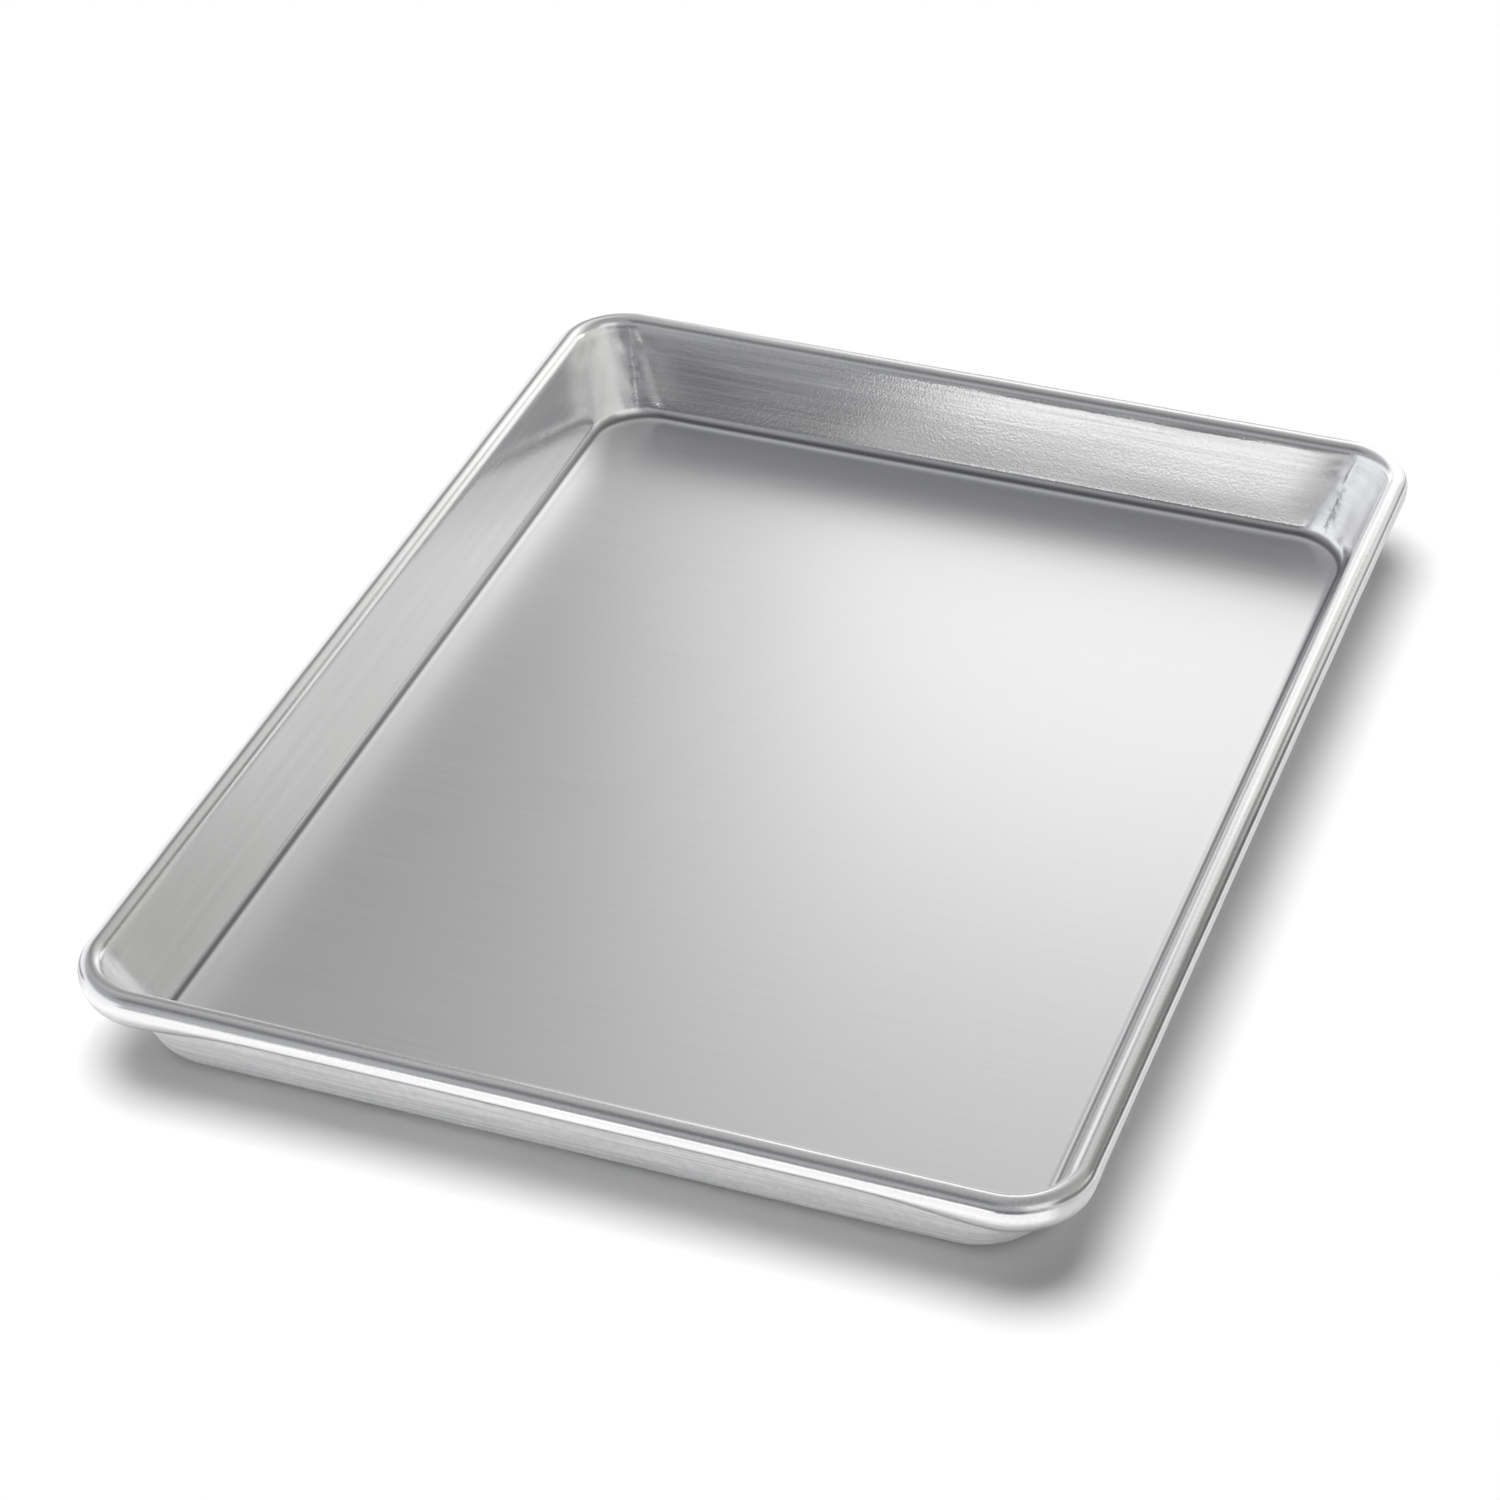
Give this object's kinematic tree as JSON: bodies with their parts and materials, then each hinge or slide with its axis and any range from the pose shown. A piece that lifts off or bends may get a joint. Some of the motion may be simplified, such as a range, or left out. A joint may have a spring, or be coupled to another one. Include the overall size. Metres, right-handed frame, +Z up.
{
  "type": "sheet pan",
  "caption": "Shallow rectangular aluminium sheet pan with flared walls, rounded corners and a rim rolled over a steel wire, for baking and roasting on an oven rack.",
  "frame": {"origin": "on the underside of the flat floor, under the middle of the pan", "axes": "+Z up out of the open top, +Y along the long side, +X along the short side"},
  "size_m": [0.2412, 0.327, 0.0266],
  "materials": {
    "aluminium_sheet": "uncoated satin mill finish, brighter on the drawn walls and the rolled rim",
    "galvanised_wire": "galvanised"
  },
  "bodies": {
    "root": {"pan_body": "aluminium_sheet", "rim_wire": "galvanised_wire"}
  },
  "joints": []
}
